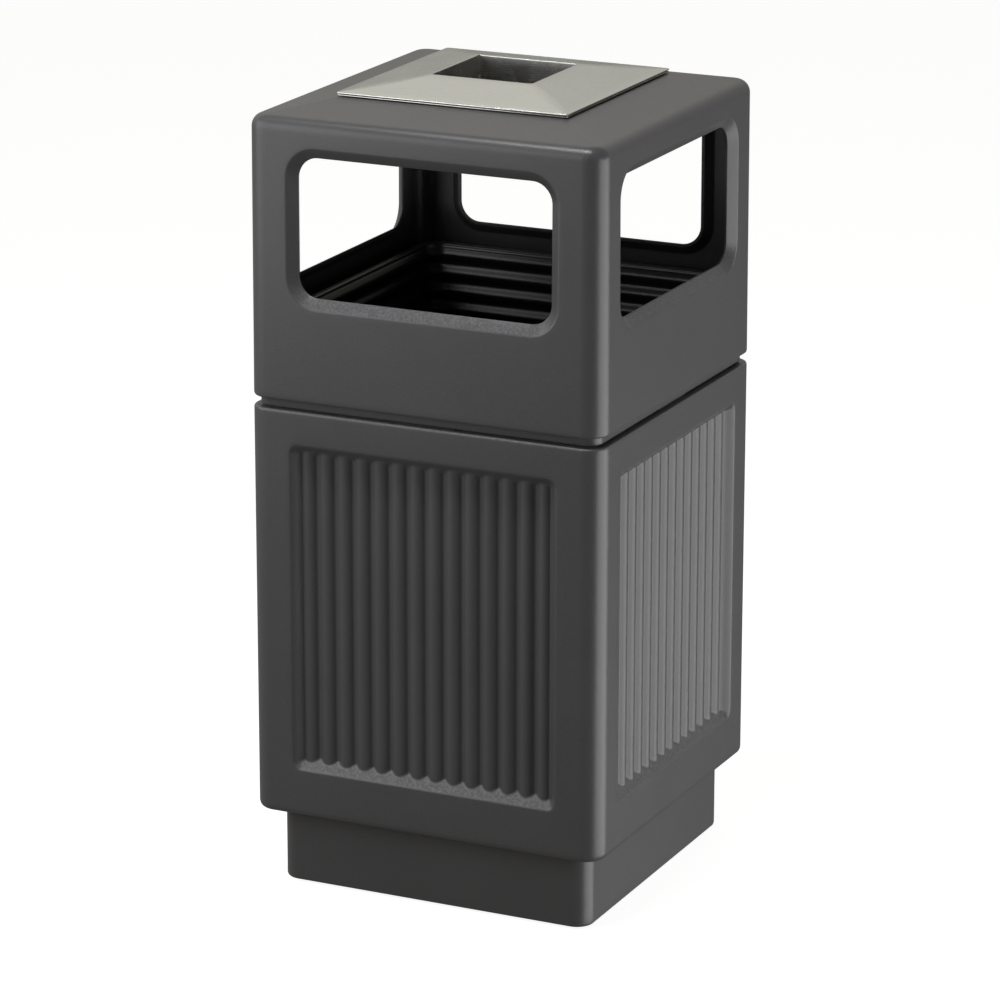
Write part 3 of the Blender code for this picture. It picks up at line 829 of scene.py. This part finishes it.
def make_screws(steel):
    """Button-head screws with a hexagon recess, seen from below."""
    low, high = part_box("foot_screw_front_left")
    head = (high.x - low.x) / 2
    profile = fillet([
        (SCREW_MOUTH, low.z, 0),
        (head * 0.75, low.z, 0.001),
        (head, SCREW_SEAT - 0.0012, 0.0015),
        (head, SCREW_SEAT, 0),
        (SCREW_SHANK, SCREW_SEAT, 0),
        (SCREW_SHANK, high.z - SCREW_TIP, 0),
        (SCREW_SHANK / 2, high.z, 0),
    ], steps=4)
    for corner, centre in corner_places(FOOT_SPACING):
        hexagon = hexagon_ring(SCREW_RECESS, centre)
        recess = [hexagon + np.array([0, 0, z]) for z in (SCREW_RECESS_TOP, low.z)]
        rings = recess + [circle_ring(reach, z, centre) for reach, z in profile]
        item = lofted("screw_" + corner, rings, steel, sharp=40)
        place(item, "base", "screw_steel", "foot_screw_" + corner)


def make_plugs(plastic):
    """Push-in plugs with a domed head inside the bin."""
    low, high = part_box("anchor_plug_front_left")
    head = (high.x - low.x) / 2
    seat = high.z - PLUG_HEAD_TALL
    profile = fillet([
        (PLUG_DIMPLE, low.z + PLUG_HEAD_TALL / 2, 0),
        (PLUG_DIMPLE_MOUTH, low.z, PLUG_CREASE_ROUND),
        (PLUG_STEM, low.z, PLUG_EDGE_ROUND),
        (PLUG_STEM, seat, 0),
        (head, seat, PLUG_CREASE_ROUND),
        (head, seat + PLUG_HEAD_TALL / 2, PLUG_EDGE_ROUND),
        (head * 0.6, high.z, PLUG_DOME_ROUND),
        (head * 0.2, high.z, 0),
    ])
    for corner, centre in corner_places(ANCHOR_SPACING):
        rings = [circle_ring(reach, z, centre) for reach, z in profile]
        item = lofted("plug_" + corner, rings, plastic, sharp=50)
        place(item, "base", "plug_plastic", "anchor_plug_" + corner)


# ---- Material nodes -----------------------------------------------------
NOISE_RANGE = (0.3, 0.7)
STREAK_RANGE = (0.25, 0.75)


def new_material(name):
    material = bpy.data.materials.new(name)
    material.use_nodes = True
    tree = material.node_tree
    return material, tree, tree.nodes["Principled BSDF"]


def noise(tree, vector, scale, detail=3.0, roughness=0.55):
    node = tree.nodes.new("ShaderNodeTexNoise")
    node.inputs["Scale"].default_value = scale
    node.inputs["Detail"].default_value = detail
    node.inputs["Roughness"].default_value = roughness
    tree.links.new(vector, node.inputs["Vector"])
    return node.outputs["Fac"]


def remap(tree, value, source, target):
    """A value taken from one (low, high) range to another, and held at its ends."""
    node = tree.nodes.new("ShaderNodeMapRange")
    for name, limit in zip(("From Min", "From Max", "To Min", "To Max"), source + target):
        node.inputs[name].default_value = limit
    tree.links.new(value, node.inputs["Value"])
    return node.outputs["Result"]


def fill_inputs(tree, node, *values):
    """Link sockets to a node's inputs in turn, and set plain values on them."""
    for socket, value in zip(node.inputs, values):
        if isinstance(value, (float, tuple)):
            socket.default_value = value
        else:
            tree.links.new(value, socket)


def combine(tree, operation, first, second):
    node = tree.nodes.new("ShaderNodeMath")
    node.operation = operation
    fill_inputs(tree, node, first, second)
    return node.outputs["Value"]


def product(tree, *values):
    """Several varying values multiplied together."""
    result = values[0]
    for value in values[1:]:
        result = combine(tree, "MULTIPLY", result, value)
    return result


def vector_math(tree, operation, output, first, second):
    node = tree.nodes.new("ShaderNodeVectorMath")
    node.operation = operation
    fill_inputs(tree, node, first, second)
    return node.outputs[output]


def height_of(tree, vector):
    node = tree.nodes.new("ShaderNodeSeparateXYZ")
    tree.links.new(vector, node.inputs["Vector"])
    return node.outputs["Z"]


def tint(tree, colour, factor):
    """A colour multiplied by a varying grey factor."""
    node = tree.nodes.new("ShaderNodeVectorMath")
    node.operation = "SCALE"
    node.inputs[0].default_value = colour
    tree.links.new(factor, node.inputs["Scale"])
    return node.outputs["Vector"]


def object_coordinates(tree, stretch=(1.0, 1.0, 1.0)):
    where = tree.nodes.new("ShaderNodeTexCoord")
    mapping = tree.nodes.new("ShaderNodeMapping")
    mapping.inputs["Scale"].default_value = stretch
    tree.links.new(where.outputs["Object"], mapping.inputs["Vector"])
    return mapping.outputs["Vector"]


def surface_normal(tree):
    return tree.nodes.new("ShaderNodeNewGeometry").outputs["Normal"]


def add_bump(tree, shader, height, strength, distance):
    node = tree.nodes.new("ShaderNodeBump")
    node.inputs["Strength"].default_value = strength
    node.inputs["Distance"].default_value = distance
    tree.links.new(height, node.inputs["Height"])
    tree.links.new(node.outputs["Normal"], shader.inputs["Normal"])


# ---- Materials ----------------------------------------------------------
# Painted light on upward-facing ledges: how steep a face is, and how high, decides how much brightness is
# painted on.
LEDGE_FACING = (0.25, 0.65)
LEVEL_FACING = (0.80, 0.97)
LEVEL_LEDGE_LIGHT = 0.4
SPECK_RANGE = (0.42, 0.68)
SPECK_AMOUNT = (0.35, 1.9)
LEDGE_LIGHT_HEIGHTS = (DECK_ROUND_Z - 0.15, DECK_ROUND_Z - 0.10)
# Painted shade: faces turned towards the middle line by more than this range are darkened.
INWARD_FACING = (-0.09, -0.03)


def painted_ledge_light(tree, where, pebble, ledge_light):
    """Painted light: brightness in specks on upward-facing ledges, most on sloping ones, below the deck,
    where light from above falls.
    """
    facing_up = height_of(tree, surface_normal(tree))
    ledge = remap(tree, facing_up, LEDGE_FACING, (0.0, 1.0))
    level = remap(tree, facing_up, LEVEL_FACING, (1.0, LEVEL_LEDGE_LIGHT))
    specks = remap(tree, pebble, SPECK_RANGE, SPECK_AMOUNT)
    below_deck = remap(tree, height_of(tree, where), LEDGE_LIGHT_HEIGHTS, (ledge_light, 0.0))
    return product(tree, ledge, level, specks, below_deck)


def painted_inside_shade(tree, where, inner):
    """Painted shade: 1 on faces turned away from the middle line, and inner on those turned to it,
    darkening the shells' insides.
    """
    level = vector_math(tree, "MULTIPLY", "Vector", where, (1.0, 1.0, 0.0))
    outward = vector_math(tree, "DOT_PRODUCT", "Value", surface_normal(tree), level)
    return remap(tree, outward, INWARD_FACING, (inner, 1.0))


def moulded_plastic(name, colour, roughness, grain=1.0, ledge_light=0.0, inner=1.0):
    """Moulded plastic: fine pebbled grain, faint mottling, painted light on upward ledges and painted
    shade on inner faces.
    """
    material, tree, shader = new_material(name)
    shader.inputs["Specular IOR Level"].default_value = 0.40
    where = object_coordinates(tree)
    fine = noise(tree, where, scale=900.0, detail=2.0)
    pebble = noise(tree, where, scale=330.0, detail=4.0, roughness=0.6)
    mottle = noise(tree, where, scale=7.0, detail=4.0)
    factor = product(tree, remap(tree, fine, NOISE_RANGE, (0.90, 1.10)),
                     remap(tree, mottle, NOISE_RANGE, (0.95, 1.05)))
    # Painted light: specks of brightness added to the colour of upward-facing ledges below the deck.
    if ledge_light:
        factor = combine(tree, "ADD", factor, painted_ledge_light(tree, where, pebble, ledge_light))
    # Painted shade: the colour of the shells' inner faces is darkened down to inner.
    if inner < 1.0:
        factor = product(tree, factor, painted_inside_shade(tree, where, inner))
    tree.links.new(tint(tree, colour, factor), shader.inputs["Base Color"])
    tree.links.new(remap(tree, pebble, NOISE_RANGE, (roughness - 0.03, roughness + 0.05)),
                   shader.inputs["Roughness"])
    height = combine(tree, "ADD", combine(tree, "MULTIPLY", pebble, 1.4), fine)
    add_bump(tree, shader, height, strength=0.35 * grain, distance=0.00035)
    return material


def sheet_steel(name, colour, roughness, stretch, streaks=1.0):
    """Stainless sheet with fine streaks along one direction and faint smudges."""
    material, tree, shader = new_material(name)
    shader.inputs["Metallic"].default_value = 1.0
    brushed = noise(tree, object_coordinates(tree, stretch), scale=60.0, detail=5.0, roughness=0.65)
    smudge = noise(tree, object_coordinates(tree), scale=22.0)
    tree.links.new(tint(tree, colour, remap(tree, brushed, STREAK_RANGE, (0.93, 1.05))),
                   shader.inputs["Base Color"])
    smooth, rough = roughness - 0.05 * streaks, roughness + 0.07 * streaks
    streaked = remap(tree, brushed, STREAK_RANGE, (smooth, rough))
    smudged = remap(tree, smudge, (0.4, 0.7), (0.0, 0.05))
    tree.links.new(combine(tree, "ADD", streaked, smudged), shader.inputs["Roughness"])
    add_bump(tree, shader, brushed, strength=0.10 * streaks, distance=0.0002)
    return material


def soft_rubber(name, colour):
    """Dull black rubber with a fine grain."""
    material, tree, shader = new_material(name)
    grain = noise(tree, object_coordinates(tree), scale=700.0)
    tree.links.new(tint(tree, colour, remap(tree, grain, NOISE_RANGE, (0.85, 1.2))),
                   shader.inputs["Base Color"])
    tree.links.new(remap(tree, grain, NOISE_RANGE, (0.72, 0.88)), shader.inputs["Roughness"])
    add_bump(tree, shader, grain, strength=0.3, distance=0.0003)
    return material


def paint_nodes(material, *nodes):
    """Give CAD nodes that stay in view a finished material."""
    for name in nodes:
        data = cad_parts[name].data
        data.materials.clear()
        data.materials.append(material)


# ---- Studio -------------------------------------------------------------
CAMERA_PLACE = (2.3553, -5.0002, 2.1142)
CAMERA_AZIMUTH = 25.278
CAMERA_ELEVATION = 16.670
CAMERA_ROLL = 0.067
CAMERA_LENS = 169.2
SENSOR_WIDTH = 36.0
CLIP_END = 200.0
FLOOR_REACH = 60.0
FLOOR_GREY = (0.35, 0.35, 0.35, 1.0)
FLOOR_LIGHT = 0.90
WHITE = (1.0, 1.0, 1.0, 1.0)
BACKDROP_AZIMUTH = 212.0
BACKDROP_FACING = (0.30, 0.75)
BACKDROP_LIGHT = 0.86
BACKDROP_FOOT = (-0.10, 0.05)
BACKDROP_RISE = (0.24, 0.58)
BACKDROP_LOW_SHARE = 0.36
BACKDROP_TOP = (0.62, 0.85)
BOUNCE_AZIMUTH = -60.0
BOUNCE_FACING = (-0.2, 0.6)
BOUNCE_LIGHT = 0.20
BOUNCE_TOP = (-0.12, -0.02)
ROOM_LIGHT = 0.08
ROOM_TINT = (1.0, 0.985, 0.885, 1.0)
AIM_HEIGHT = 0.5


def direction_to(azimuth, elevation):
    """Unit vector from the object: azimuth 0 is the front, and 90 the right-hand side."""
    turn, lift = math.radians(azimuth), math.radians(elevation)
    return Vector((math.sin(turn) * math.cos(lift), -math.cos(turn) * math.cos(lift), math.sin(lift)))


def make_floor():
    """Pale floor that the camera sees, and that neither shades nor lights the object."""
    data = bpy.data.meshes.new("floor")
    reach = FLOOR_REACH
    data.from_pydata([(-reach, -reach, 0), (reach, -reach, 0), (reach, reach, 0), (-reach, reach, 0)],
                     [], [(0, 1, 2, 3)])
    item = bpy.data.objects.new("floor", data)
    bpy.context.collection.objects.link(item)
    item.visible_diffuse = False
    item.visible_glossy = False
    item.visible_shadow = False
    material, _, shader = new_material("pale_floor")
    shader.inputs["Base Color"].default_value = FLOOR_GREY
    shader.inputs["Roughness"].default_value = 0.9
    shader.inputs["Specular IOR Level"].default_value = 0.1
    shader.inputs["Emission Color"].default_value = WHITE
    shader.inputs["Emission Strength"].default_value = FLOOR_LIGHT
    data.materials.append(material)


def softbox(name, azimuth, elevation, distance, size, power):
    """Rectangular area light, placed by its direction from the object."""
    light = bpy.data.lights.new(name, "AREA")
    light.shape = "RECTANGLE"
    light.size, light.size_y = size
    light.energy = power
    item = bpy.data.objects.new(name, light)
    bpy.context.collection.objects.link(item)
    direction = direction_to(azimuth, elevation)
    item.location = Vector((0, 0, AIM_HEIGHT)) + direction * distance
    item.rotation_euler = (-direction).to_track_quat("-Z", "Y").to_euler()


def facing(tree, vector, azimuth, source, level):
    """Light on one side of the room, rising to level where the direction faces azimuth."""
    turn = math.radians(azimuth)
    towards = (math.sin(turn), -math.cos(turn), 0.0)
    along = vector_math(tree, "DOT_PRODUCT", "Value", vector, towards)
    return remap(tree, along, source, (0.0, level))


def room_light(tree, vector):
    """A dim room with a pale wall behind the object and a little light from below."""
    height = height_of(tree, vector)
    wall = product(tree, facing(tree, vector, BACKDROP_AZIMUTH, BACKDROP_FACING, BACKDROP_LIGHT),
                   remap(tree, height, BACKDROP_RISE, (BACKDROP_LOW_SHARE, 1.0)),
                   remap(tree, height, BACKDROP_TOP, (1.0, 0.0)),
                   remap(tree, height, BACKDROP_FOOT, (0.0, 1.0)))
    bounce = product(tree, facing(tree, vector, BOUNCE_AZIMUTH, BOUNCE_FACING, BOUNCE_LIGHT),
                     remap(tree, height, BOUNCE_TOP, (1.0, 0.0)))
    return combine(tree, "ADD", combine(tree, "ADD", wall, bounce), ROOM_LIGHT)


def make_world():
    """White where the camera looks, and otherwise the room that lights the object."""
    world = bpy.data.worlds.new("studio")
    bpy.context.scene.world = world
    world.use_nodes = True
    tree = world.node_tree
    where = tree.nodes.new("ShaderNodeTexCoord")
    background = tree.nodes["Background"]
    background.inputs["Color"].default_value = ROOM_TINT
    tree.links.new(room_light(tree, where.outputs["Generated"]), background.inputs["Strength"])
    paper = tree.nodes.new("ShaderNodeBackground")
    paper.inputs["Color"].default_value = WHITE
    path = tree.nodes.new("ShaderNodeLightPath")
    choose = tree.nodes.new("ShaderNodeMixShader")
    tree.links.new(path.outputs["Is Camera Ray"], choose.inputs["Fac"])
    tree.links.new(background.outputs["Background"], choose.inputs[1])
    tree.links.new(paper.outputs["Background"], choose.inputs[2])
    tree.links.new(choose.outputs["Shader"], tree.nodes["World Output"].inputs["Surface"])


def make_lights():
    make_world()
    softbox("right_strip", azimuth=98, elevation=-12, distance=2.2, size=(2.6, 2.0), power=60.0)
    softbox("front_key", azimuth=-44, elevation=21, distance=1.8, size=(1.6, 1.5), power=19.0)
    softbox("overhead", azimuth=-15, elevation=73, distance=2.3, size=(0.9, 0.26), power=29.0)


def make_camera():
    camera = bpy.data.cameras.new("camera")
    camera.lens = CAMERA_LENS
    camera.sensor_width = SENSOR_WIDTH
    camera.clip_end = CLIP_END
    item = bpy.data.objects.new("camera", camera)
    bpy.context.collection.objects.link(item)
    back = direction_to(CAMERA_AZIMUTH, CAMERA_ELEVATION)
    aim = (-back).to_track_quat("-Z", "Y").to_matrix().to_4x4()
    roll = Matrix.Rotation(math.radians(CAMERA_ROLL), 4, "Z")
    item.matrix_world = Matrix.Translation(CAMERA_PLACE) @ aim @ roll
    bpy.context.scene.camera = item


def make_pieces():
    # The charcoal gets painted light on its upward ledges at 0.50 and painted shade on its inner faces at
    # 0.3.
    charcoal = moulded_plastic("charcoal_plastic", (0.073, 0.071, 0.075), roughness=0.32,
                               ledge_light=0.50, inner=0.3)
    liner_black = moulded_plastic("liner_black", (0.009, 0.009, 0.010), roughness=0.30, grain=0.35)
    plug_black = moulded_plastic("plug_black", (0.030, 0.030, 0.031), roughness=0.48, grain=0.4)
    cover_steel = sheet_steel("cover_steel", (0.640, 0.640, 0.635), roughness=0.24,
                              stretch=(1.0, 28.0, 28.0), streaks=0.5)
    pan_steel = sheet_steel("pan_steel", (0.56, 0.55, 0.50), roughness=0.13,
                            stretch=(6.0, 6.0, 1.0), streaks=0.2)
    screw_steel = sheet_steel("screw_steel", (0.60, 0.60, 0.60), roughness=0.32,
                              stretch=(1.0, 1.0, 1.0), streaks=0.5)
    rubber = soft_rubber("black_rubber", (0.020, 0.020, 0.020))
    make_base(charcoal)
    make_hood(charcoal)
    make_liner(liner_black)
    make_pan(pan_steel)
    make_cover(cover_steel)
    make_feet(rubber)
    make_screws(screw_steel)
    make_plugs(plug_black)
    paint_nodes(rubber, "pan_gasket", "hood_pad_front", "hood_pad_right",
                "hood_pad_back", "hood_pad_left")


make_pieces()
make_floor()
make_lights()
make_camera()
bpy.context.scene.view_settings.view_transform = "Standard"
